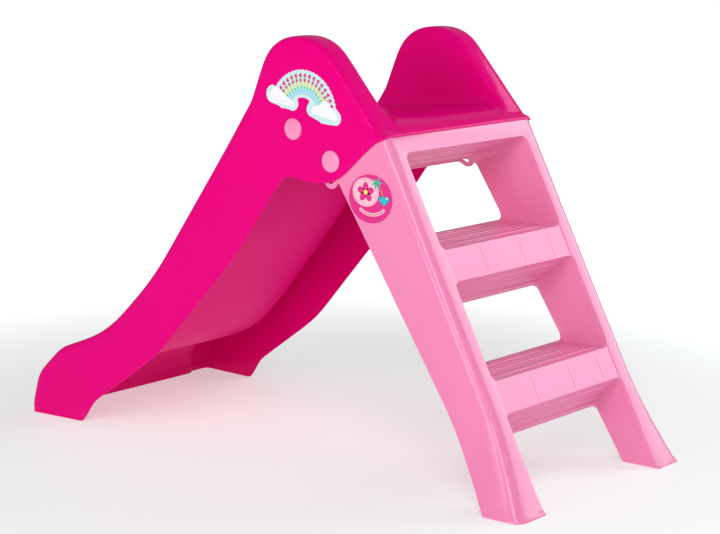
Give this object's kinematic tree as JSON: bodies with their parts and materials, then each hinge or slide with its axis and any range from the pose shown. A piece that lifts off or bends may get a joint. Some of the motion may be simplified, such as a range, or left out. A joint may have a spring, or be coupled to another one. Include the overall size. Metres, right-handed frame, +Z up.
{
  "type": "toddler slide",
  "caption": "Small free-standing slide: a thin-walled chute with hollow hand rails and a stepped ladder, joined at the top by push-in pins",
  "frame": {"origin": "on the floor, at the middle of the object's length and width", "axes": "+Z up, -X toward the exit of the slide, +X toward the ladder, Y across; the object is symmetric about Y = 0"},
  "size_m": [1.111, 0.476, 0.72],
  "materials": {
    "slide_plastic": "glossy moulded polyethylene, magenta",
    "ladder_plastic": "satin to glossy moulded polyethylene, light pink",
    "pin_plastic": "smooth moulded plastic, light pink",
    "rainbow_print": "printed film sticker with a pale aqua border",
    "badge_print": "printed film sticker, magenta disc"
  },
  "bodies": {
    "frame": {"slide_body": "slide_plastic", "ladder_body": "ladder_plastic", "rainbow_sticker_left": "rainbow_print", "rainbow_sticker_right": "rainbow_print", "badge_sticker_left": "badge_print", "badge_sticker_right": "badge_print"},
    "upper_left_pin": {"pin_upper_left": "pin_plastic"},
    "lower_left_pin": {"pin_lower_left": "pin_plastic"},
    "upper_right_pin": {"pin_upper_right": "pin_plastic"},
    "lower_right_pin": {"pin_lower_right": "pin_plastic"}
  },
  "joints": [
    {"name": "upper_left_pull", "type": "slide", "parent": "frame", "child": "upper_left_pin", "axis": [0, 1, 0], "range_m": [0, 0.013]},
    {"name": "lower_left_pull", "type": "slide", "parent": "frame", "child": "lower_left_pin", "axis": [0, 1, 0], "range_m": [0, 0.013]},
    {"name": "upper_right_pull", "type": "slide", "parent": "frame", "child": "upper_right_pin", "axis": [0, -1, 0], "range_m": [0, 0.013]},
    {"name": "lower_right_pull", "type": "slide", "parent": "frame", "child": "lower_right_pin", "axis": [0, -1, 0], "range_m": [0, 0.013]}
  ]
}
